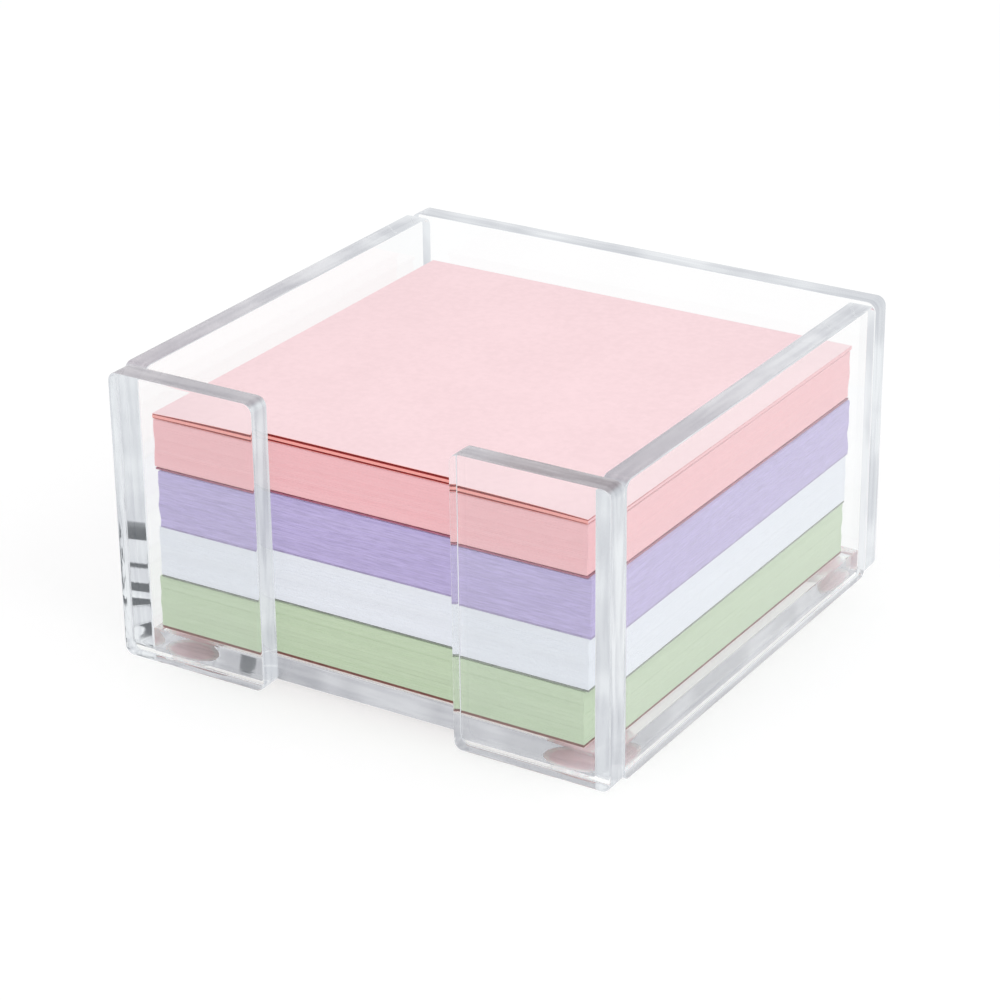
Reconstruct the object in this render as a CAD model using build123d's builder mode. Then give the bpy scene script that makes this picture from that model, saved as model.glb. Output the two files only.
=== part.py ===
"""Clear acrylic memo holder with a stack of four coloured note pads.

Frame: the origin lies on the table under the middle of the box, +X to the right, +Y to the back
and +Z up, seen by someone who faces the open notch in the front. All sizes are in millimetres.
"""

from build123d import *
from math import cos, radians, sin
import os

os.makedirs("parts", exist_ok=True)

# ------------------------------------------------------------------ acrylic box
sheet = 4.0  # thickness of the upright panels
base_sheet = 4.0  # thickness of the base plate
base_lift = 0.5  # the base plate sits this much above the lower edge of the walls
wall_height = 47.3  # of the upright panels, which end 6.2 above the top note's front edge
tab_width = 26.5  # each of the two front tabs, measured along the front
corner_radius = 1.6  # rounded corners in the outline of every upright panel
edge_break = 0.25  # small bevel left by polishing, all round both faces of a panel

# ------------------------------------------------------------------ feet
foot_diameter = 9.5
foot_height = 1.5
foot_round = 0.6  # rounding of the lower rim
foot_margin = 0.5  # from the rim of a foot to the inner faces of the walls

# ------------------------------------------------------------------ note pads
pad_size = 76.0  # square notes, three inches
left_clearance = 1.7  # between the pads and the inner faces of the walls
right_clearance = 1.3
front_clearance = 0.5
back_clearance = 2.5

green_paper = 8.7  # height of each block of paper without its backing
white_paper = 8.2
lilac_paper = 9.25
pink_paper = 8.45
backing_card = 0.35  # stiff brown card under the lowest pad
backing_sheet = 0.25  # thin liner under each of the other pads

green_shift = -0.4  # some pads lie a little to the left or right of the pink one
lilac_shift = 0.3
green_turn = -0.2  # and are turned a little, in degrees about the vertical
white_turn = 0.15
lilac_turn = 0.25

# ------------------------------------------------------------------ loosened top notes
leaves_thickness = 0.5  # the top few notes, still held by their gummed strip at the back
leaves_lift = 0.4  # how far their front edge has come away from the pad
gum_strip = 14.0  # width of the gummed strip

# ------------------------------------------------------------------ worked out from the above
inner_width = left_clearance + pad_size + right_clearance
inner_depth = front_clearance + pad_size + back_clearance
outer_width = inner_width + 2 * sheet
front_face = -inner_depth / 2 - sheet
back_face = inner_depth / 2 + sheet

base_underside = foot_height
base_top = base_underside + base_sheet
wall_bottom = base_underside - base_lift

green_bottom = base_top
white_bottom = green_bottom + backing_card + green_paper
lilac_bottom = white_bottom + backing_sheet + white_paper
pink_bottom = lilac_bottom + backing_sheet + lilac_paper
leaves_bottom = pink_bottom + backing_sheet + pink_paper

pad_front = -inner_depth / 2 + front_clearance
pad_back = pad_front + pad_size
pad_left = -inner_width / 2 + left_clearance


def panel_plane(x, y, facing):
    """Plane of an upright panel: its middle at half the wall's height, its normal out of the box."""
    middle_height = wall_bottom + wall_height / 2
    return Plane(origin=(x, y, middle_height), x_dir=facing.cross(Vector(0, 0, 1)), z_dir=facing)


def make_panel(plane, width, label):
    """An upright panel with rounded corners, its outer face on the plane and all edges broken."""
    with BuildPart() as panel:
        with BuildSketch(plane):
            RectangleRounded(width, wall_height, corner_radius)
        extrude(amount=-sheet)
        outer_face = panel.faces().sort_by(Axis(plane.origin, plane.z_dir))[-1]
        inner_face = panel.faces().sort_by(Axis(plane.origin, plane.z_dir))[0]
        chamfer(outer_face.edges() + inner_face.edges(), edge_break)
    panel.part.label = label
    export_step(panel.part, f"parts/{label}.step")


def make_foot(x, y, label):
    """A round bumper under the base plate, with a soft lower rim."""
    with BuildPart() as foot:
        with BuildSketch(Plane(origin=(x, y, 0))):
            Circle(foot_diameter / 2)
        extrude(amount=foot_height)
        fillet(foot.edges().sort_by(Axis.Z)[0], foot_round)
    foot.part.label = label
    export_step(foot.part, f"parts/{label}.step")


def make_block(bottom, height, shift, turn, label):
    """A square block of paper or card in the stack, a little shifted and turned."""
    middle = (pad_left + pad_size / 2 + shift, pad_front + pad_size / 2, bottom)
    turned = (cos(radians(turn)), sin(radians(turn)), 0)
    with BuildPart() as block:
        with BuildSketch(Plane(origin=middle, x_dir=turned, z_dir=(0, 0, 1))):
            Rectangle(pad_size, pad_size)
        extrude(amount=height)
    block.part.label = label
    export_step(block.part, f"parts/{label}.step")


# ------------------------------------------------------------------ acrylic box
# The base plate is glued between the walls. The notch leaves its front edge open to view.
with BuildPart() as base_plate:
    with BuildSketch(Plane.XY.offset(base_underside)):
        Rectangle(inner_width, inner_depth)
    extrude(amount=base_sheet)
    chamfer(base_plate.edges(), edge_break)
base_plate.part.label = "base_plate"
export_step(base_plate.part, "parts/base_plate.step")

# The back panel and the tabs cover the ends of the side panels, which are butt-jointed to them.
to_left = Vector(-1, 0, 0)
to_right = Vector(1, 0, 0)
to_front = Vector(0, -1, 0)
to_back = Vector(0, 1, 0)
tab_middle = (outer_width - tab_width) / 2
make_panel(panel_plane(0, back_face, to_back), outer_width, "back_panel")
make_panel(panel_plane(-outer_width / 2, 0, to_left), inner_depth, "left_panel")
make_panel(panel_plane(outer_width / 2, 0, to_right), inner_depth, "right_panel")
make_panel(panel_plane(-tab_middle, front_face, to_front), tab_width, "front_left_tab")
make_panel(panel_plane(tab_middle, front_face, to_front), tab_width, "front_right_tab")

# ------------------------------------------------------------------ feet
foot_x = inner_width / 2 - foot_margin - foot_diameter / 2
foot_y = inner_depth / 2 - foot_margin - foot_diameter / 2
make_foot(-foot_x, -foot_y, "foot_front_left")
make_foot(foot_x, -foot_y, "foot_front_right")
make_foot(-foot_x, foot_y, "foot_back_left")
make_foot(foot_x, foot_y, "foot_back_right")

# ------------------------------------------------------------------ note pads, from the bottom up
make_block(green_bottom, backing_card, green_shift, green_turn, "green_backing")
make_block(green_bottom + backing_card, green_paper, green_shift, green_turn, "green_pad")
make_block(white_bottom, backing_sheet, 0, white_turn, "white_backing")
make_block(white_bottom + backing_sheet, white_paper, 0, white_turn, "white_pad")
make_block(lilac_bottom, backing_sheet, lilac_shift, lilac_turn, "lilac_backing")
make_block(lilac_bottom + backing_sheet, lilac_paper, lilac_shift, lilac_turn, "lilac_pad")
make_block(pink_bottom, backing_sheet, 0, 0, "pink_backing")
make_block(pink_bottom + backing_sheet, pink_paper, 0, 0, "pink_pad")

# ------------------------------------------------------------------ loosened top notes
# Seen from the side they lie flat on their gummed strip and then curl up gently to the front.
with BuildPart() as pink_top_leaves:
    with BuildSketch(Plane.YZ.offset(pad_left)):
        with BuildLine():
            gum_line = Line((pad_back, leaves_bottom), (pad_back - gum_strip, leaves_bottom))
            under_curl = TangentArc(
                gum_line @ 1, (pad_front, leaves_bottom + leaves_lift), tangent=gum_line % 1
            )
            front_edge = Line(under_curl @ 1, under_curl @ 1 + Vector(0, leaves_thickness))
            upper_line = Line(
                gum_line @ 0 + Vector(0, leaves_thickness), gum_line @ 1 + Vector(0, leaves_thickness)
            )
            TangentArc(upper_line @ 1, front_edge @ 1, tangent=upper_line % 1)
            Line(gum_line @ 0, upper_line @ 0)
        make_face()
    extrude(amount=pad_size)
pink_top_leaves.part.label = "pink_top_leaves"
export_step(pink_top_leaves.part, "parts/pink_top_leaves.step")
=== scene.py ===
"""Dresses a clear acrylic memo holder and its stack of four note pads for a plain studio picture.

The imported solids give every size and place. Each acrylic panel is built again with softly rolled
edges, each pad sheet by sheet and the loosened top notes as curled layers, and none of it leaves the
box of the solids. The feet keep their solids and get their finish.
"""

import logging
import math
import random
from dataclasses import dataclass
from enum import Enum

import bpy
from bpy.types import Material, Mesh, Node, NodeSocket, Object, World
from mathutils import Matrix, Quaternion, Vector


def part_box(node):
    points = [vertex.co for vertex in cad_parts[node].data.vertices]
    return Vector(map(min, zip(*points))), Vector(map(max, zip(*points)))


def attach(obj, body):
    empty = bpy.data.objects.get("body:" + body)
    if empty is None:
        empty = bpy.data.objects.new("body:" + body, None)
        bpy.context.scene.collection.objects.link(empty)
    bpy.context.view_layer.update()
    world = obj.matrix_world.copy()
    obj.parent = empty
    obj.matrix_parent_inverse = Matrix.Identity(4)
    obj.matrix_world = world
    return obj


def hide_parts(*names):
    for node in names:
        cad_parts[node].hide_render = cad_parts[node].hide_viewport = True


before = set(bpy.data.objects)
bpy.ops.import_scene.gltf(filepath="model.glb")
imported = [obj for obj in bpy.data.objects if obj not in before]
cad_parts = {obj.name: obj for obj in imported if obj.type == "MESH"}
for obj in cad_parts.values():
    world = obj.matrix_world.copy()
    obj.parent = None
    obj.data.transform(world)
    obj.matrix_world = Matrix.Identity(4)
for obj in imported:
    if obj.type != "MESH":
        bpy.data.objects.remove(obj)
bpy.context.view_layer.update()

MM = 0.001
log = logging.getLogger("memo_holder")

Colour = tuple[float, float, float]
Opaque = tuple[float, float, float, float]
Point = tuple[float, float, float]
Flat = tuple[float, float]
Range = tuple[float, float]
Face = tuple[int, ...]

RIGHTWARD: Point = (1.0, 0.0, 0.0)
FORWARD: Point = (0.0, -1.0, 0.0)
BACKWARD: Point = (0.0, 1.0, 0.0)
UPWARD: Point = (0.0, 0.0, 1.0)


def linear(red: int, green: int, blue: int) -> Colour:
    """Turns a colour written in 8-bit screen values into the renderer's linear values.

    Args:
        red: From 0 to 255.
        green: From 0 to 255.
        blue: From 0 to 255.

    Returns:
        The same colour in linear values from 0 to 1.
    """
    shares = [value / 255 for value in (red, green, blue)]
    return tuple(s / 12.92 if s <= 0.04045 else ((s + 0.055) / 1.055) ** 2.4 for s in shares)


def opaque(colour: Colour) -> Opaque:
    """Adds the fourth number that a colour socket takes."""
    return (*colour, 1.0)


def scaled(colour: Colour, factor: float) -> Colour:
    """Makes a colour lighter or darker, up to white."""
    return tuple(min(1.0, channel * factor) for channel in colour)


# ---- shader building
@dataclass(frozen=True)
class Grain:
    """A noise pattern: its features in a metre along each axis, and how much finer noise it has."""

    stretch: Point
    detail: float = 2.0
    roughness: float = 0.5


class Value:
    """A number that varies over a surface: a shader socket whose operators add Math nodes."""

    def __init__(self, tree: "ShaderTree", socket: NodeSocket) -> None:
        """Keeps the socket and the tree that its node is in."""
        self.tree = tree
        self.socket = socket

    def math(self, operation: str, *operands: "float | Value") -> "Value":
        """Adds one Math node.

        Args:
            operation: The node's operation, such as "ADD".
            operands: The node's inputs in order.

        Returns:
            The node's result.
        """
        made = self.tree.node("ShaderNodeMath", {"operation": operation}, dict(enumerate(operands)))
        return Value(self.tree, made.outputs[0])

    def __add__(self, other: "float | Value") -> "Value":
        """self + other."""
        return self.math("ADD", self, other)

    def __radd__(self, other: "float | Value") -> "Value":
        """other + self."""
        return self.math("ADD", other, self)

    def __sub__(self, other: "float | Value") -> "Value":
        """self - other."""
        return self.math("SUBTRACT", self, other)

    def __rsub__(self, other: "float | Value") -> "Value":
        """other - self."""
        return self.math("SUBTRACT", other, self)

    def __mul__(self, other: "float | Value") -> "Value":
        """self * other."""
        return self.math("MULTIPLY", self, other)

    def __rmul__(self, other: "float | Value") -> "Value":
        """other * self."""
        return self.math("MULTIPLY", other, self)

    def __abs__(self) -> "Value":
        """abs(self)."""
        return self.math("ABSOLUTE", self)

    def ramp(self, span: Range, start: float = 0.0, end: float = 1.0) -> "Value":
        """Maps the number smoothly from one range to another.

        Args:
            span: The numbers that give start and end.
            start: The result at the first of them and below it.
            end: The result at the second and above it.

        Returns:
            The mapped number.
        """
        made = self.tree.node(
            "ShaderNodeMapRange",
            {"interpolation_type": "SMOOTHSTEP"},
            {"Value": self, "From Min": span[0], "From Max": span[1], "To Min": start, "To Max": end},
        )
        return Value(self.tree, made.outputs["Result"])

    def fade(self, span: Range) -> "Value":
        """Maps the number to 1 below a range and to 0 above it."""
        return self.ramp(span, 1.0, 0.0)


class ShaderTree:
    """The nodes of one material or of the world, with one method that makes any node.

    Its constants are the places of a Mix node's sockets for colours.
    """

    MIX_INPUTS = (0, 6, 7)
    MIX_RESULT = 2

    def __init__(self, owner: Material | World) -> None:
        """Empties the owner's node tree.

        Args:
            owner: The material or the world.
        """
        owner.use_nodes = True
        self.owner = owner
        self.tree = owner.node_tree
        self.tree.nodes.clear()

    @classmethod
    def of_material(cls, name: str) -> "ShaderTree":
        """Makes a material and opens its tree."""
        return cls(bpy.data.materials.new(name))

    def node(self, kind: str, settings: dict | None = None, inputs: dict | None = None) -> Node:
        """Makes one node.

        Args:
            kind: The node's type.
            settings: The node's own settings, which are set first.
            inputs: A number, a colour, a Value or a socket for each input, by name or by place.

        Returns:
            The node.
        """
        made = self.tree.nodes.new(kind)
        for name, setting in (settings or {}).items():
            setattr(made, name, setting)
        for key, given in (inputs or {}).items():
            given = given.socket if isinstance(given, Value) else given
            if isinstance(given, NodeSocket):
                self.tree.links.new(given, made.inputs[key])
            else:
                made.inputs[key].default_value = given
        return made

    def mix_colour(
        self, factor: Value, first: "Opaque | NodeSocket", second: "Opaque | NodeSocket", blend: str = "MIX"
    ) -> NodeSocket:
        """Mixes two colours.

        Args:
            factor: The share of the second colour.
            first: A colour of four numbers or a socket.
            second: A colour of four numbers or a socket.
            blend: The Mix node's blend type.

        Returns:
            The mixed colour's socket.
        """
        given = dict(zip(self.MIX_INPUTS, (factor, first, second)))
        made = self.node("ShaderNodeMix", {"data_type": "RGBA", "blend_type": blend}, given)
        return made.outputs[self.MIX_RESULT]

    def shades(self, factor: Value, colour: Colour, darker: float, lighter: float) -> NodeSocket:
        """Mixes a darker and a lighter shade of a colour, which are shares of it away from it."""
        dark, light = scaled(colour, 1 - darker), scaled(colour, 1 + lighter)
        return self.mix_colour(factor, opaque(dark), opaque(light))

    def mix_shader(self, factor: "Value | NodeSocket", first: Node, second: Node) -> Node:
        """Mixes two shaders.

        Args:
            factor: The share of the second shader.
            first: The shader that shows where the factor is 0.
            second: The shader that shows where the factor is 1.

        Returns:
            The Mix Shader node.
        """
        given = {0: factor, 1: first.outputs[0], 2: second.outputs[0]}
        return self.node("ShaderNodeMixShader", {}, given)

    def glow(self, colour: Colour, strength: float = 1.0) -> Node:
        """A shader that shows a colour as it is written."""
        return self.node("ShaderNodeEmission", {}, {"Color": opaque(colour), "Strength": strength})

    def vector_math(self, operation: str, first: NodeSocket, second: Point) -> Node:
        """Adds one Vector Math node, whose second input is the same all over."""
        return self.node("ShaderNodeVectorMath", {"operation": operation}, {0: first, 1: second})

    def place(self) -> NodeSocket:
        """The surface point in the part's own frame."""
        return self.node("ShaderNodeTexCoord").outputs["Object"]

    def noise(self, grain: Grain) -> Value:
        """Soft noise over the part's own frame.

        Args:
            grain: Its pattern.

        Returns:
            The noise, about 0.5 on average.
        """
        given = {
            "Vector": self.vector_math("MULTIPLY", self.place(), grain.stretch).outputs[0],
            "Scale": 1.0,
            "Detail": grain.detail,
            "Roughness": grain.roughness,
        }
        return Value(self, self.node("ShaderNodeTexNoise", {}, given).outputs[0])

    def coordinate(self, axis: Point) -> Value:
        """How far the surface point lies along an axis of the part's own frame, in metres."""
        return Value(self, self.vector_math("DOT_PRODUCT", self.place(), axis).outputs["Value"])

    def turned(self, axis: Point) -> Value:
        """Which way the surface is turned in the part's own frame: 1 along the axis, -1 against it."""
        normal = self.node("ShaderNodeTexCoord").outputs["Normal"]
        return Value(self, self.vector_math("DOT_PRODUCT", normal, axis).outputs["Value"])

    def facing(self, axis: Point) -> Value:
        """How squarely the surface faces an axis, from either side: 1 is square on, 0 is edge on."""
        return abs(self.turned(axis))

    def light_path(self, *names: str) -> Value:
        """Adds up some of Light Path's outputs.

        Args:
            names: The outputs' names.

        Returns:
            Their sum, held at 1.
        """
        path = self.node("ShaderNodeLightPath").outputs
        total = sum((Value(self, path[name]) for name in names[1:]), Value(self, path[names[0]]))
        return total.math("MINIMUM", total, 1.0)

    def bump(self, height: Value, distance: float, strength: float) -> NodeSocket:
        """A normal tilted by a height, for a shader's Normal socket.

        Args:
            height: The height, from 0 to 1.
            distance: What a height of 1 stands for, in metres.
            strength: The Bump node's strength.

        Returns:
            The normal's socket.
        """
        given = {"Height": height, "Distance": distance, "Strength": strength}
        return self.node("ShaderNodeBump", {}, given).outputs[0]

    def surface(self, shader: Node) -> None:
        """Sends a shader to the output.

        Args:
            shader: The shader's node.
        """
        of_material = isinstance(self.owner, Material)
        kind = "ShaderNodeOutputMaterial" if of_material else "ShaderNodeOutputWorld"
        self.node(kind, {}, {"Surface": shader.outputs[0]})


# ---- finishes
class SheetAxis(Enum):
    """The direction across a sheet's thickness."""

    SIDE_TO_SIDE = RIGHTWARD
    FRONT_TO_BACK = BACKWARD
    UPRIGHT = UPWARD


@dataclass(frozen=True)
class PaintedDarkPatches:
    """Painted dark reflections: where the light inside a sheet would come from a darker part of the room,
    small patches of a darker glow, low down.
    """

    colour: Colour = linear(58, 66, 74)
    share: float = 1.0
    grain: Grain = Grain((150.0, 150.0, 330.0), 1.0, 0.4)
    level: float = 0.53
    softness: float = 0.05
    heights: Range = (10.8 * MM, 18 * MM)
    left: Range = (-37 * MM, -31 * MM)
    front: Range = (-12 * MM, -8 * MM)
    back: Range = (14 * MM, 18 * MM)

    def mask(self, shader: ShaderTree) -> Value:
        """Where the patches are.

        Args:
            shader: The finish's tree.

        Returns:
            How much of their colour shows, 0 outside them.
        """
        cells = shader.noise(self.grain).ramp((self.level, self.level + self.softness))
        low = shader.coordinate(UPWARD).fade(self.heights)
        left = shader.coordinate(RIGHTWARD).fade(self.left)
        depth = shader.coordinate(BACKWARD)
        middle = depth.ramp(self.front) * depth.fade(self.back)
        return cells * low * left * middle * self.share


@dataclass(frozen=True)
class ClearAcrylic:
    """Cast acrylic sheet with clear faces and polished edges that keep faint streaks of the saw.

    A painted pale grey glow with painted darker patches stands in for light that has been turned back
    inside the sheet a few times, as its edges and corners look. Its upper edges carry a painted shade,
    a painted reflection of a darker room towards the front.
    """

    name: str
    axis: SheetAxis
    face_colour: Colour = (0.985, 0.990, 0.990)
    edge_colour: Colour = (0.97, 0.985, 0.99)
    streak_colour: Colour = (0.72, 0.73, 0.76)
    painted_upper_shade: Colour = (0.54, 0.44, 0.475)
    painted_right_reflection: Colour | None = None
    streak_rate: float = 1100.0
    streak_run: float = 70.0
    streak_detail: float = 3.0
    streak_roughness: float = 0.6
    streak_depth: float = 0.02 * MM
    streak_strength: float = 0.4
    refraction: float = 1.49
    lamp_colour: Colour = (0.965, 0.972, 0.972)
    painted_guided_light: Colour = linear(236, 239, 242)
    painted_guided_shade: Colour = linear(214, 217, 222)
    clouds: Grain = Grain((70.0, 70.0, 70.0))
    # Painted dark reflections in the painted glow.
    patches: PaintedDarkPatches = PaintedDarkPatches()
    painted_joint_glow_share: float = 0.0
    traced_bounces: int = 3
    edge_turn: Range = (0.35, 0.9)
    upper_turn: Range = (0.5, 0.9)
    glued_turn: Range = (0.9, 0.98)
    noise_middle: Range = (0.36, 0.6)
    painted_reflection_range: Range = (0.35, 0.6)
    least_painted_reflection: float = 0.5
    shade_depths: Range = (-45 * MM, 55 * MM)
    right_places: Range = (20 * MM, 28 * MM)
    back_places: Range = (0.0, 10 * MM)

    def material(self) -> Material:
        """Builds the finish.

        Returns:
            Glass with streaked edges, which lets lamps and bounced light through.
        """
        shader = ShaderTree.of_material(self.name)
        edge = shader.facing(self.axis.value).fade(self.edge_turn)
        across = tuple(self.streak_rate if a else self.streak_run for a in self.axis.value)
        streaks = shader.noise(Grain(across, self.streak_detail, self.streak_roughness))
        polished = self._polished(shader, streaks)
        given = {
            "Base Color": shader.mix_colour(edge, opaque(self.face_colour), polished),
            "Transmission Weight": 1.0,
            "IOR": self.refraction,
            "Roughness": 0.0,
            "Normal": shader.bump(streaks * edge, self.streak_depth, self.streak_strength),
        }
        glass = shader.node("ShaderNodeBsdfPrincipled", {}, given)
        clear = shader.node("ShaderNodeBsdfTransparent", {}, {"Color": opaque(self.lamp_colour)})
        path = shader.node("ShaderNodeLightPath").outputs
        turns = Value(shader, path["Glossy Depth"])
        spent = turns.math("GREATER_THAN", turns, self.traced_bounces - 0.5)
        # Painted light: where a ray has turned back more often than the traced bounces, and on the glued
        # joint, a painted glow shows in place of the glass.
        pale = spent.math("MAXIMUM", spent, self._painted_joint_glow(shader))
        seen = shader.mix_shader(pale, glass, self._painted_guided_glow(shader))
        bounced = shader.mix_shader(path["Is Diffuse Ray"], seen, clear)
        shader.surface(shader.mix_shader(path["Is Shadow Ray"], bounced, clear))
        return shader.owner

    def _polished(self, shader: ShaderTree, streaks: Value) -> NodeSocket:
        """The colour of the edges.

        Args:
            shader: The finish's tree.
            streaks: The streaks of the saw.

        Returns:
            The streaked colour, darker where an edge faces up: a painted shade.
        """
        polished = shader.mix_colour(
            streaks.ramp(self.noise_middle), opaque(self.streak_colour), opaque(self.edge_colour)
        )
        shade = opaque(self.painted_upper_shade)
        # Painted reflection: a darker streaky stretch on the upper edges towards the right.
        if self.painted_right_reflection:
            right = shader.coordinate(RIGHTWARD).ramp(self.right_places)
            painted_reflection_mask = right * streaks.ramp(self.painted_reflection_range, 1.0, self.least_painted_reflection)
            shade = shader.mix_colour(painted_reflection_mask, shade, opaque(self.painted_right_reflection))
        # Painted shade on the upper edges, strongest towards the front.
        front = shader.coordinate(BACKWARD).fade(self.shade_depths)
        upper = shader.turned(UPWARD).ramp(self.upper_turn) * front
        return shader.mix_colour(upper, polished, shade, "MULTIPLY")

    def _painted_joint_glow(self, shader: ShaderTree) -> Value:
        """How much painted pale glow shows on the glued joint at the back end of a side panel."""
        end = shader.facing(BACKWARD).ramp(self.glued_turn)
        return end * shader.coordinate(BACKWARD).ramp(self.back_places) * self.painted_joint_glow_share

    def _painted_guided_glow(self, shader: ShaderTree) -> Node:
        """A painted glow in place of light turned back inside the sheet.

        Args:
            shader: The finish's tree.

        Returns:
            A painted pale glow with painted dark patches.
        """
        clouds = shader.noise(self.clouds).ramp(self.noise_middle)
        pale = shader.mix_shader(clouds, shader.glow(self.painted_guided_light), shader.glow(self.painted_guided_shade))
        return shader.mix_shader(self.patches.mask(shader), pale, shader.glow(self.patches.colour))


@dataclass(frozen=True)
class StackedPaper:
    """Uncoated coloured paper: a softly mottled face, and cut sides streaked along the sheets."""

    name: str
    face_colour: Colour
    side_colour: Colour
    streak: float
    painted_top_shade: Colour | None = None
    painted_front_glow: Colour | None = None
    mottle: float = 0.035
    fibre_share: float = 0.6
    sheet_share: float = 0.55
    light_streak: float = 0.7
    roughness: float = 0.88
    specular: float = 0.25
    relief_depth: float = 0.03 * MM
    relief_strength: float = 0.5
    fibres: Grain = Grain((900.0, 900.0, 900.0), 5.0, 0.6)
    clouds: Grain = Grain((55.0, 55.0, 55.0))
    sheets: Grain = Grain((110.0, 110.0, 9000.0), 3.0, 0.65)
    flecks: Grain = Grain((420.0, 420.0, 5200.0))
    noise_range: Range = (0.3, 0.7)
    turn: Range = (0.4, 0.8)

    def material(self) -> Material:
        """Builds the finish.

        Returns:
            Paper whose cut sides show the edges of single sheets.
        """
        shader = ShaderTree.of_material(self.name)
        side = shader.facing(UPWARD).fade(self.turn)
        fibres = shader.noise(self.fibres)
        sheets = shader.noise(self.sheets)
        relief = fibres * (1 - side) + sheets * side
        given = {
            "Base Color": shader.mix_colour(side, self._face(shader, fibres), self._cut(shader, sheets)),
            "Roughness": self.roughness,
            "Specular IOR Level": self.specular,
            "Normal": shader.bump(relief, self.relief_depth, self.relief_strength),
        }
        shader.surface(shader.node("ShaderNodeBsdfPrincipled", {}, given))
        return shader.owner

    def _face(self, shader: ShaderTree, fibres: Value) -> NodeSocket:
        """The colour of the faces.

        Args:
            shader: The finish's tree.
            fibres: The paper's fibres.

        Returns:
            The mottled colour, or a painted shade, if given, where a face points up.
        """
        blend = fibres * self.fibre_share + shader.noise(self.clouds) * (1 - self.fibre_share)
        mottling = blend.ramp(self.noise_range)
        face = shader.shades(mottling, self.face_colour, self.mottle, self.mottle)
        # Painted shade on upward faces, for a note that lies in the dark gap under another.
        if self.painted_top_shade:
            up = shader.turned(UPWARD).ramp(self.turn)
            face = shader.mix_colour(up, face, opaque(self.painted_top_shade))
        return face

    def _cut(self, shader: ShaderTree, sheets: Value) -> NodeSocket:
        """The colour of the cut sides.

        Args:
            shader: The finish's tree.
            sheets: The streaks along the sheets.

        Returns:
            The streaked colour, or a painted glow, if given, where a side faces forward.
        """
        blend = sheets * self.sheet_share + shader.noise(self.flecks) * (1 - self.sheet_share)
        streaking = blend.ramp(self.noise_range)
        lighter = self.streak * self.light_streak
        cut = shader.shades(streaking, self.side_colour, self.streak, lighter)
        # Painted glow on sides that face forward, standing in for light thrown back between the loose
        # notes.
        if self.painted_front_glow:
            front = shader.turned(FORWARD).ramp(self.turn)
            cut = shader.mix_colour(front, cut, opaque(self.painted_front_glow))
        return cut


@dataclass(frozen=True)
class BackingBoard:
    """A backing sheet under a pad, with the faint flow marks of pressed board."""

    name: str
    colour: Colour
    lining_colour: Colour | None = None
    lining_top: float = 0.0
    lining_blur: float = 0.02 * MM
    fleck: float = 0.16
    roughness: float = 0.8
    specular: float = 0.3
    relief_depth: float = 0.03 * MM
    relief_strength: float = 0.4
    flecks: Grain = Grain((700.0, 700.0, 4000.0), 4.0, 0.6)
    fleck_range: Range = (0.35, 0.7)

    def material(self) -> Material:
        """Builds the finish.

        Returns:
            Board with small flecks of lighter fibre, and a paler lining below if one is given.
        """
        shader = ShaderTree.of_material(self.name)
        flecks = shader.noise(self.flecks).ramp(self.fleck_range)
        colour = shader.shades(flecks, self.colour, self.fleck, self.fleck)
        if self.lining_colour:
            rise = (self.lining_top - self.lining_blur, self.lining_top + self.lining_blur)
            lining = shader.coordinate(UPWARD).fade(rise)
            colour = shader.mix_colour(lining, colour, opaque(self.lining_colour))
        given = {
            "Base Color": colour,
            "Roughness": self.roughness,
            "Specular IOR Level": self.specular,
            "Normal": shader.bump(flecks, self.relief_depth, self.relief_strength),
        }
        shader.surface(shader.node("ShaderNodeBsdfPrincipled", {}, given))
        return shader.owner


@dataclass(frozen=True)
class SoftBumper:
    """Tinted soft plastic of a small stick-on foot, paler towards its rim."""

    name: str
    centre: Point
    radius: float
    core_colour: Colour = linear(246, 224, 230)
    rim_colour: Colour = linear(255, 252, 253)
    wear: float = 0.14
    worn_share: float = 0.5
    worn_range: Range = (0.35, 0.75)
    rim_start: float = 0.72
    rim_full: float = 0.88
    roughness: Range = (0.38, 0.55)
    roughness_range: Range = (0.3, 0.7)
    softness: float = 0.35
    soft_reach: Point = (1.5 * MM, 1.0 * MM, 0.9 * MM)
    grain: Grain = Grain((900.0, 900.0, 900.0), 3.0)
    relief_depth: float = 0.05 * MM
    relief_strength: float = 0.4

    def material(self) -> Material:
        """Builds the finish.

        Returns:
            A translucent disc with a paler ring along its rim.
        """
        shader = ShaderTree.of_material(self.name)
        flat = shader.vector_math("MULTIPLY", shader.place(), (1.0, 1.0, 0.0)).outputs[0]
        reach = shader.vector_math("DISTANCE", flat, (*self.centre[:2], 0.0))
        ring_span = (self.rim_start * self.radius, self.rim_full * self.radius)
        ring = Value(shader, reach.outputs["Value"]).ramp(ring_span)
        grain = shader.noise(self.grain)
        colour = shader.mix_colour(ring, opaque(self.core_colour), opaque(self.rim_colour))
        worn = scaled(self.core_colour, 1 - self.wear)
        colour = shader.mix_colour(grain.ramp(self.worn_range) * self.worn_share, colour, opaque(worn))
        given = {
            "Base Color": colour,
            "Roughness": grain.ramp(self.roughness_range, *self.roughness),
            "Subsurface Weight": self.softness,
            "Subsurface Radius": self.soft_reach,
            "Subsurface Scale": 1.0,
            "Normal": shader.bump(grain, self.relief_depth, self.relief_strength),
        }
        shader.surface(shader.node("ShaderNodeBsdfPrincipled", {}, given))
        return shader.owner


def dress(piece: Object, material: Material) -> None:
    """Gives a piece one material in all its slots.

    Args:
        piece: The piece, with or without material slots.
        material: Its finish.
    """
    if not piece.material_slots:
        piece.data.materials.append(material)
    for entry in piece.material_slots:
        entry.material = material


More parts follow.
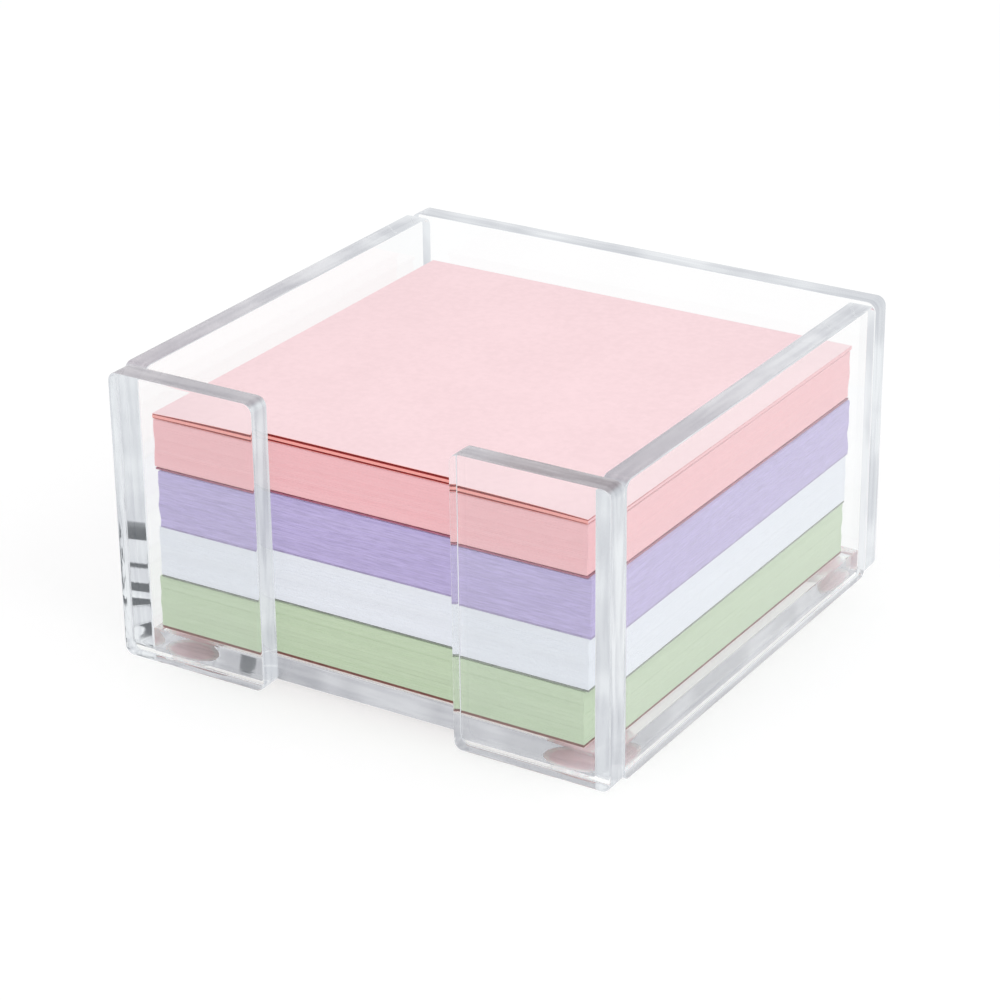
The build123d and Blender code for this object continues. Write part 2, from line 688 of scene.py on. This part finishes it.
def new_piece(name: str, vertices: list[Point], faces: list[Face], finish: Material) -> Object:
    """Makes a mesh object and dresses it.

    Args:
        name: The piece's name.
        vertices: Its points, in metres.
        faces: The points of each face, in order.
        finish: Its material.

    Returns:
        The object.
    """
    mesh = bpy.data.meshes.new(name)
    mesh.from_pydata(vertices, [], faces)
    mesh.update()
    piece = bpy.data.objects.new(name, mesh)
    bpy.context.scene.collection.objects.link(piece)
    dress(piece, finish)
    return piece


def tube_faces(around: int, rings: int) -> list[Face]:
    """The faces of a closed form that is given as rings of points.

    Args:
        around: The number of points in a ring.
        rings: The number of rings.

    Returns:
        The faces between the rings, and one at each end.
    """
    faces: list[Face] = []
    for ring in range(rings - 1):
        for here in range(around):
            there = (here + 1) % around
            low, high = ring * around, (ring + 1) * around
            faces.append((low + here, low + there, high + there, high + here))
    faces.append(tuple(reversed(range(around))))
    faces.append(tuple((rings - 1) * around + here for here in range(around)))
    return faces


# ---- acrylic box
@dataclass
class AcrylicPanel:
    """One sheet: a rounded outline whose polished edges roll softly into both faces."""

    node: str
    axis: SheetAxis
    corner_radius: float = 1.6 * MM
    draw_in: float = 0.01 * MM
    lowered: float = 0.0
    edge_round: float = 0.25 * MM
    corner_steps: int = 12
    edge_steps: int = 4
    ripple: float = 0.012 * MM
    ripple_length: float = 9 * MM
    step: float = 2.5 * MM

    def build(self, finish: Material) -> Object:
        """Builds the sheet in place of its solid.

        Args:
            finish: The acrylic for this direction of sheet.

        Returns:
            The sheet's object.
        """
        inset = Vector((self.draw_in,) * 3)
        low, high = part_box(self.node)
        low, high = low + inset, high - inset
        low.z -= self.lowered
        across = max(range(3), key=lambda i: abs(self.axis.value[i]))
        u, v = (across + 1) % 3, (across + 2) % 3
        vertices: list[Point] = []
        profile = self._profile(high[across] - low[across])
        around = 0
        for depth, inward in profile:
            ring = self._outline((low[u], low[v]), (high[u], high[v]), inward)
            around = len(ring)
            for a, b in ring:
                point = [0.0, 0.0, 0.0]
                point[across], point[u], point[v] = low[across] + depth, a, b
                vertices.append(tuple(point))
        faces = tube_faces(around, len(profile))
        piece = new_piece(f"{self.node}_sheet", vertices, faces, finish)
        self._smooth_edges(piece.data, around)
        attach(piece, "holder")
        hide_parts(self.node)
        return piece

    def _profile(self, thickness: float) -> list[Flat]:
        """The rounded edge from face to face.

        Args:
            thickness: The sheet's thickness.

        Returns:
            Depths across the sheet, each with how far its outline is drawn in there.
        """
        turns = [math.pi / 2 * i / self.edge_steps for i in range(self.edge_steps + 1)]
        e = self.edge_round
        near = [(e * (1 - math.cos(turn)), e * (1 - math.sin(turn))) for turn in turns]
        return near + [(thickness - depth, inward) for depth, inward in reversed(near)]

    def _outline(self, low: Flat, high: Flat, inward: float) -> list[Flat]:
        """A rounded rectangle whose straight stretches are faintly rippled.

        Args:
            low: The rectangle's lowest corner, in the sheet's plane.
            high: The rectangle's highest corner.
            inward: How far the whole outline is drawn in.

        Returns:
            Its points, anticlockwise.
        """
        r = self.corner_radius
        (u0, v0), (u1, v1) = low, high
        centres = ((u1 - r, v1 - r), (u0 + r, v1 - r), (u0 + r, v0 + r), (u1 - r, v0 + r))
        reach = r - inward
        points: list[Flat] = []
        for quarter, (cu, cv) in enumerate(centres):
            for i in range(self.corner_steps + 1):
                turn = math.pi / 2 * (quarter + i / self.corner_steps)
                points.append((cu + reach * math.cos(turn), cv + reach * math.sin(turn)))
            points += self._straight(points[-1], quarter, centres[(quarter + 1) % 4], reach)
        return points

    def _straight(self, start: Flat, quarter: int, centre: Flat, reach: float) -> list[Flat]:
        """The points between two rounded corners, moved in and out by the ripple.

        Args:
            start: The last point of the corner before.
            quarter: The number of that corner, from 0.
            centre: The centre of the next corner.
            reach: The radius of both corners.

        Returns:
            The points, without either end.
        """
        turn = math.pi / 2 * (quarter + 1)
        out = (math.cos(turn), math.sin(turn))
        end = (centre[0] + reach * out[0], centre[1] + reach * out[1])
        length = math.dist(start, end)
        count = max(2, round(length / self.step))
        points = []
        for i in range(1, count):
            t = i / count
            swell = math.sin(math.pi * t)
            wave = math.sin(math.tau * t * length / self.ripple_length) * swell
            inward = self.ripple * (wave - 1) / 2 * swell
            points.append(tuple(s + (e - s) * t + o * inward for s, e, o in zip(start, end, out)))
        return points

    def _smooth_edges(self, mesh: Mesh, around: int) -> None:
        """Shades the rolled edges smoothly and keeps both flat faces flat.

        Args:
            mesh: The sheet's mesh.
            around: The number of points in its outline.
        """
        sides = len(mesh.polygons) - 2
        mesh.polygons.foreach_set("use_smooth", [i < sides for i in range(len(mesh.polygons))])
        last = len(mesh.vertices) - around
        sharp = [max(edge.vertices) < around or min(edge.vertices) >= last for edge in mesh.edges]
        mesh.attributes.new("sharp_edge", "BOOLEAN", "EDGE").data.foreach_set("value", sharp)


@dataclass
class AcrylicBox:
    """The six glued panels."""

    base_corner_radius: float = 0.3 * MM
    base_lowered: float = 0.015 * MM
    side: ClearAcrylic = ClearAcrylic(
        "side_acrylic",
        SheetAxis.SIDE_TO_SIDE,
        patches=PaintedDarkPatches(level=0.505, front=(-20 * MM, -16 * MM)),
        painted_joint_glow_share=1.0,
    )
    back: ClearAcrylic = ClearAcrylic(
        "back_acrylic", SheetAxis.FRONT_TO_BACK, patches=PaintedDarkPatches(share=0.0), traced_bounces=1
    )
    tab: ClearAcrylic = ClearAcrylic(
        "tab_acrylic",
        SheetAxis.FRONT_TO_BACK,
        streak_colour=(0.62, 0.63, 0.66),
        painted_upper_shade=(0.47, 0.40, 0.42),
        painted_right_reflection=(0.30, 0.22, 0.23),
        patches=PaintedDarkPatches(share=0.0),
    )
    base: ClearAcrylic = ClearAcrylic(
        "base_acrylic",
        SheetAxis.UPRIGHT,
        painted_guided_light=linear(212, 213, 217),
        painted_guided_shade=linear(186, 187, 192),
        patches=PaintedDarkPatches(
            share=0.8, grain=Grain((330.0, 330.0, 330.0), 1.0, 0.4), front=(-4 * MM, 0.0)
        ),
    )

    def build(self) -> list[Object]:
        """Builds every panel.

        Returns:
            The panels.
        """
        base = AcrylicPanel(
            "base_plate", self.base.axis, self.base_corner_radius, lowered=self.base_lowered
        )
        panels = [base.build(self.base.material())]
        upright = (
            (self.back, ("back_panel",)),
            (self.side, ("left_panel", "right_panel")),
            (self.tab, ("front_left_tab", "front_right_tab")),
        )
        for acrylic, nodes in upright:
            finish = acrylic.material()
            panels += [AcrylicPanel(node, acrylic.axis).build(finish) for node in nodes]
        return panels


@dataclass
class Feet:
    """The four round bumpers under the base plate."""

    nodes: tuple[str, ...] = ("foot_front_left", "foot_front_right", "foot_back_left", "foot_back_right")

    def build(self) -> list[Object]:
        """Dresses every foot with a ring that is centred on it.

        Returns:
            The feet.
        """
        feet = [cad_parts[node] for node in self.nodes]
        for node, foot in zip(self.nodes, feet):
            low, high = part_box(node)
            centre = (low + high) / 2
            radius = (high.x - low.x) / 2
            dress(foot, SoftBumper(f"soft_bumper_{node}", tuple(centre), radius).material())
        return feet


# ---- note pads
@dataclass(frozen=True)
class Block:
    """The space of one solid in the stack: its corners seen from above, and its heights."""

    corners: tuple[Vector, Vector, Vector, Vector]
    low: float
    high: float

    @classmethod
    def of_node(cls, node: str) -> "Block":
        """Reads the space of a node.

        Args:
            node: The name of a solid with square corners and upright sides.

        Returns:
            Its corners, from the front left one round to the right, and its heights.
        """
        points = [vertex.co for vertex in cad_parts[node].data.vertices]
        towards = ((-1, -1), (1, -1), (1, 1), (-1, 1))
        corners = tuple(max(points, key=lambda p: p.x * x + p.y * y).to_2d() for x, y in towards)
        low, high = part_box(node)
        return cls(corners, low.z, high.z)


@dataclass
class SheetStack:
    """A pad built as a stack of cut sheets: each lies a hair away from the one under it."""

    name: str
    node: str
    body: str
    slot: str
    seed: int
    sheet_pitch: float = 0.092 * MM
    steps_per_side: int = 10
    seat_gap: float = 0.03 * MM
    margin: float = 0.2 * MM
    jitter: float = 0.028 * MM
    drift: float = 0.12 * MM
    drift_waves: int = 3
    drift_turns: Range = (0.5, 2.6)
    low_groove: float = 0.0
    high_groove: float = 0.0
    groove_depth: float = 0.35 * MM
    raised_bottom: float = 0.0
    lowered_top: float = 0.0

    def build(self, finish: Material) -> Object:
        """Builds the pad and puts it on its body in place of its solid.

        Args:
            finish: The pad's paper or board.

        Returns:
            The pad's object.
        """
        space = Block.of_node(self.node)
        bottom = space.low + self.seat_gap + self.raised_bottom
        height = space.high - self.lowered_top - bottom
        count = max(1, round(height / self.sheet_pitch))
        pitch = height / count
        vertices: list[Point] = []
        for sheet, shift in enumerate(self._shifts(count, random.Random(self.seed))):
            pulled_in = self._pulled_in(sheet * pitch, (count - 1 - sheet) * pitch)
            ring = self._ring(space, shift, self.margin + pulled_in)
            for level in (bottom + sheet * pitch, bottom + (sheet + 1) * pitch):
                vertices += [(x, y, level) for x, y in ring]
        around = 4 * self.steps_per_side
        faces = tube_faces(around, len(vertices) // around)
        piece = new_piece(self.name, vertices, faces, finish)
        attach(piece, self.body)
        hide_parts(self.node)
        return piece

    def _shifts(self, count: int, chance: random.Random) -> list[Vector]:
        """How far each sheet lies from the middle of the solid: a slow drift and a small jitter.

        Args:
            count: The number of sheets.
            chance: The source of random numbers.

        Returns:
            The shift of each sheet, from the bottom up.
        """
        waves = [
            (chance.uniform(*self.drift_turns), chance.uniform(0, math.tau), chance.uniform(0, math.tau))
            for _ in range(self.drift_waves)
        ]
        shifts = []
        for sheet in range(count):
            turn = math.tau * sheet / count
            x = sum(math.sin(rate * turn + a) for rate, a, _ in waves) / len(waves) * self.drift
            y = sum(math.sin(rate * turn + b) for rate, _, b in waves) / len(waves) * self.drift
            aside = chance.uniform(-1, 1) * self.jitter
            along = chance.uniform(-1, 1) * self.jitter
            shifts.append(Vector((x + aside, y + along)))
        return shifts

    def _pulled_in(self, above_bottom: float, below_top: float) -> float:
        """How much further a sheet is drawn in where it borders the groove under or over the pad.

        Args:
            above_bottom: The sheet's height above the lowest one.
            below_top: Its depth below the highest one.

        Returns:
            The further distance, in metres.
        """
        low = max(0.0, 1 - above_bottom / self.low_groove) if self.low_groove else 0.0
        high = max(0.0, 1 - below_top / self.high_groove) if self.high_groove else 0.0
        return self.groove_depth * max(low, high)

    def _ring(self, space: Block, shift: Vector, margin: float) -> list[Flat]:
        """The outline of one sheet.

        Args:
            space: The space of the solid.
            shift: How far the sheet is moved.
            margin: How far it is drawn in on every side.

        Returns:
            Its points, anticlockwise from the front left corner.
        """
        middle = sum(space.corners, Vector((0, 0))) / 4
        points = []
        for here, there in zip(space.corners, space.corners[1:] + space.corners[:1]):
            half = (here - middle).length / math.sqrt(2)
            for step in range(self.steps_per_side):
                away = here.lerp(there, step / self.steps_per_side) - middle
                inner = middle + away * (1 - margin / half) + shift
                points.append((inner.x, inner.y))
        return points


@dataclass
class LooseNote:
    """Some of the top notes as one curved layer: gummed down at the back, free and raised in front.

    The start is the height of its underside at the back, counted from the underside of the solid.
    """

    name: str
    start: float
    thickness: float
    lift: float
    node: str = "pink_top_leaves"
    gum_strip: float = 14 * MM
    side_share: float = 0.3
    curl_power: int = 2
    side_power: int = 4
    across_steps: int = 24
    along_steps: int = 24
    margin: float = 0.15 * MM
    back_overhang: float = 0.25 * MM

    def build(self, finish: Material) -> Object:
        """Builds the layer in place of the curled solid.

        Args:
            finish: The notes' paper.

        Returns:
            The layer's object.
        """
        vertices = [(x, y, z + face * self.thickness) for face in range(2) for x, y, z in self._grid()]
        rows, columns = self.along_steps + 1, self.across_steps + 1
        grid = rows * columns
        faces: list[Face] = []
        for row in range(rows - 1):
            for column in range(columns - 1):
                a = row * columns + column
                b, c, d = a + 1, a + columns + 1, a + columns
                faces.append((a, b, c, d))
                faces.append((a + grid, d + grid, c + grid, b + grid))
        rim = [row * columns for row in range(rows)]
        rim += [(rows - 1) * columns + column for column in range(1, columns)]
        rim += [row * columns + columns - 1 for row in range(rows - 2, -1, -1)]
        rim += range(columns - 2, 0, -1)
        for here, there in zip(rim, rim[1:] + rim[:1]):
            faces.append((here, there, there + grid, here + grid))
        piece = new_piece(self.name, vertices, faces, finish)
        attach(piece, "top_leaves")
        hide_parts(self.node)
        return piece

    def _grid(self) -> list[Point]:
        """The points of the layer's lower face.

        Returns:
            The points, row by row from the back to the front.
        """
        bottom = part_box(self.node)[0].z + self.start
        space = Block.of_node(self.node)
        x0, x1 = space.corners[0].x + self.margin, space.corners[1].x - self.margin
        y0, y1 = space.corners[0].y + self.margin, space.corners[2].y + self.back_overhang
        points = []
        for row in range(self.along_steps + 1):
            y = y1 + (y0 - y1) * row / self.along_steps
            free = max(0.0, (y1 - y - self.gum_strip) / (y1 - y0 - self.gum_strip))
            curl = self.lift * free**self.curl_power
            for column in range(self.across_steps + 1):
                side = 2 * column / self.across_steps - 1
                rise = curl * (1 - (1 - self.side_share) * side**self.side_power)
                points.append((x0 + (x1 - x0) * column / self.across_steps, y, bottom + rise))
        return points


@dataclass(frozen=True)
class Pad:
    """One pad with its backing, and what sets it apart from the others."""

    hue: str
    paper: StackedPaper
    backing: BackingBoard
    seed: int
    backing_slot: str = "liner_paper"
    low_groove: float = 0.0
    high_groove: float = 0.0
    extra_backing: float = 0.0
    left_for_notes: float = 0.0
    one_sheet: float = 1 * MM

    def build(self) -> list[Object]:
        """Builds the pad, and its backing as a single sheet.

        Returns:
            Both pieces.
        """
        body = f"{self.hue}_block"
        sheets = SheetStack(
            f"{self.hue}_sheets",
            f"{self.hue}_pad",
            body,
            f"{self.hue}_paper",
            self.seed,
            low_groove=self.low_groove,
            high_groove=self.high_groove,
            raised_bottom=self.extra_backing,
            lowered_top=self.left_for_notes,
        )
        liner = SheetStack(
            f"{self.hue}_liner",
            f"{self.hue}_backing",
            body,
            self.backing_slot,
            self.seed + 1,
            sheet_pitch=self.one_sheet,
            jitter=0.0,
            drift=0.0,
            lowered_top=-self.extra_backing,
        )
        return [sheets.build(self.paper.material()), liner.build(self.backing.material())]


@dataclass
class PadStack:
    """The four pads with their backings and the loosened top notes."""

    notes_depth: float = 0.35 * MM
    extra_card: float = 0.12 * MM
    card_lining: float = 0.08 * MM
    note_face: Colour = linear(252, 222, 226)
    note_side: Colour = linear(250, 196, 201)
    note_streak: float = 0.02
    painted_note_glow: Colour = linear(255, 172, 165)
    painted_gap_shade: Colour = linear(206, 84, 82)

    def build(self) -> list[Object]:
        """Builds every pad with its backing, and the loosened notes."""
        return [piece for pad in self._pads() for piece in pad.build()] + self._loose_notes()

    def _pads(self) -> tuple[Pad, ...]:
        """The pads with their papers and backings: the lowest lies on a brown card with a pale lining.

        Returns:
            The pads, from the top down.
        """
        card = BackingBoard(
            "card",
            linear(132, 88, 80),
            lining_colour=linear(240, 205, 198),
            lining_top=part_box("green_backing")[0].z + self.card_lining,
        )
        # The pink, lilac and white liners are real backing sheets, coloured darker to paint the shade in
        # the seams between the pads.
        return (
            Pad(
                "pink",
                StackedPaper("pink_note", self.note_face, self.note_side, streak=0.03),
                BackingBoard("pink_liner", linear(176, 108, 130)),
                seed=11,
                low_groove=0.25 * MM,
                high_groove=0.2 * MM,
                left_for_notes=self.notes_depth,
            ),
            Pad(
                "lilac",
                StackedPaper("lilac_note", linear(208, 198, 232), linear(198, 186, 228), streak=0.18),
                BackingBoard("lilac_liner", linear(176, 164, 202)),
                seed=23,
                high_groove=0.2 * MM,
            ),
            Pad(
                "white",
                StackedPaper("white_note", linear(240, 242, 248), linear(240, 243, 250), streak=0.03),
                BackingBoard("white_liner", linear(150, 158, 146)),
                seed=37,
                low_groove=0.1 * MM,
            ),
            Pad(
                "green",
                StackedPaper("green_note", linear(206, 222, 196), linear(206, 222, 194), streak=0.035),
                card,
                seed=41,
                backing_slot="brown_card",
                high_groove=0.12 * MM,
                extra_backing=self.extra_card,
            ),
        )

    def _loose_notes(self) -> list[Object]:
        """Builds the top notes: one at rest, a few above it, and the topmost one by itself.

        Returns:
            The three layers.
        """
        plain = (self.note_face, self.note_side, self.note_streak)
        # The lower notes get a painted shade on top and a painted glow in front; the topmost note gets only
        # the glow.
        shut = StackedPaper("shut_note", *plain, self.painted_gap_shade, self.painted_note_glow).material()
        top = StackedPaper("top_note", *plain, None, self.painted_note_glow).material()
        pad_top = -self.notes_depth
        low_note = LooseNote("pink_note_low", pad_top + 0.02 * MM, thickness=0.05 * MM, lift=0.0)
        notes = LooseNote("pink_notes_middle", pad_top + 0.09 * MM, thickness=0.45 * MM, lift=0.26 * MM)
        top_note = LooseNote("pink_note_top", 0.21 * MM, thickness=0.08 * MM, lift=0.61 * MM)
        return [low_note.build(shut), notes.build(shut), top_note.build(top)]


# ---- stage
@dataclass(frozen=True)
class SoftLamp:
    """A square soft lamp that faces the box, with its place and side in metres and its power in watts."""

    name: str
    place: Point
    side: float
    power: float

    def build(self) -> Object:
        """Hangs the lamp.

        Returns:
            The lamp's object.
        """
        data = bpy.data.lights.new(self.name, "AREA")
        data.size = self.side
        data.energy = self.power
        lamp = bpy.data.objects.new(self.name, data)
        lamp.location = self.place
        lamp.rotation_mode = "QUATERNION"
        lamp.rotation_quaternion = (-Vector(self.place)).to_track_quat("-Z", "Y")
        bpy.context.scene.collection.objects.link(lamp)
        return lamp


@dataclass
class Studio:
    """A white floor, an even white surround and two soft lamps."""

    floor_half: float = 6.0
    floor_colour: Colour = (0.82, 0.82, 0.82)
    shaded_colour: Colour = (0.48, 0.48, 0.48)
    show_share: float = 0.57
    surround: float = 0.84
    white: Colour = (1.0, 1.0, 1.0)
    shown_by: tuple[str, ...] = ("Is Camera Ray", "Is Glossy Ray", "Is Transmission Ray")
    lamps: tuple[SoftLamp, ...] = (
        SoftLamp("key", (0.85, -0.05, 0.55), 0.6, 2.3),
        SoftLamp("front", (-0.15, -0.9, 0.5), 0.7, 0.95),
    )

    def build(self) -> list[Object]:
        """Builds the floor, the world and the lamps."""
        self._world()
        return [self._floor()] + [lamp.build() for lamp in self.lamps]

    def _floor(self) -> Object:
        """A white floor: the camera sees it at full white where nothing shades it.

        Returns:
            The floor's object.
        """
        h = self.floor_half
        shader = ShaderTree.of_material("white_floor")
        plain = shader.node("ShaderNodeBsdfDiffuse", {}, {"Color": opaque(self.floor_colour)})
        shaded = shader.node("ShaderNodeBsdfDiffuse", {}, {"Color": opaque(self.shaded_colour)})
        glow = shader.glow(self.white, self.show_share)
        shown = shader.node("ShaderNodeAddShader", {}, {0: shaded.outputs[0], 1: glow.outputs[0]})
        shader.surface(shader.mix_shader(shader.light_path(*self.shown_by), plain, shown))
        corners = [(-h, -h, 0), (h, -h, 0), (h, h, 0), (-h, h, 0)]
        floor = new_piece("floor", corners, [(0, 1, 2, 3)], shader.owner)
        return floor

    def _world(self) -> None:
        """A white surround, a little dimmer for the light that it throws than for what is seen."""
        world = bpy.data.worlds.new("surround")
        bpy.context.scene.world = world
        shader = ShaderTree(world)
        strength = self.surround + shader.light_path(*self.shown_by) * (1 - self.surround)
        given = {"Color": opaque(self.white), "Strength": strength}
        shader.surface(shader.node("ShaderNodeBackground", {}, given))


@dataclass
class PhotoCamera:
    """The photograph's viewpoint: in front of the box, to its right and above it."""

    aim: Point = (-6.3 * MM, 7.5 * MM, 15.7 * MM)
    distance: float = 505 * MM
    azimuth: float = 31.99
    elevation: float = 24.39
    roll: float = -0.67
    lens: float = 113.2
    sensor: float = 36.0
    nearest: float = 10 * MM

    def build(self) -> list[Object]:
        """Makes the scene's camera.

        Returns:
            The camera's object, by itself.
        """
        data = bpy.data.cameras.new("camera")
        data.lens = self.lens
        data.sensor_width = self.sensor
        data.clip_start = self.nearest
        camera = bpy.data.objects.new("camera", data)
        turn, rise = math.radians(self.azimuth), math.radians(self.elevation)
        flat = math.cos(rise)
        back = Vector((math.sin(turn) * flat, -math.cos(turn) * flat, math.sin(rise)))
        camera.location = Vector(self.aim) + back * self.distance
        camera.rotation_mode = "QUATERNION"
        level = (-back).to_track_quat("-Z", "Y")
        camera.rotation_quaternion = level @ Quaternion(UPWARD, math.radians(self.roll))
        bpy.context.scene.collection.objects.link(camera)
        bpy.context.scene.camera = camera
        return [camera]


def main() -> None:
    """Builds the scene in order and reports each piece."""
    logging.basicConfig(level=logging.INFO, format="%(name)s: %(message)s")
    bpy.context.scene.view_settings.view_transform = "Standard"
    for section in (PhotoCamera(), Studio(), AcrylicBox(), Feet(), PadStack()):
        for piece in section.build():
            faces = f", {len(piece.data.polygons)} faces" if piece.type == "MESH" else ""
            log.info("%s: %s%s", type(section).__name__, piece.name, faces)


if __name__ == "__main__":
    main()
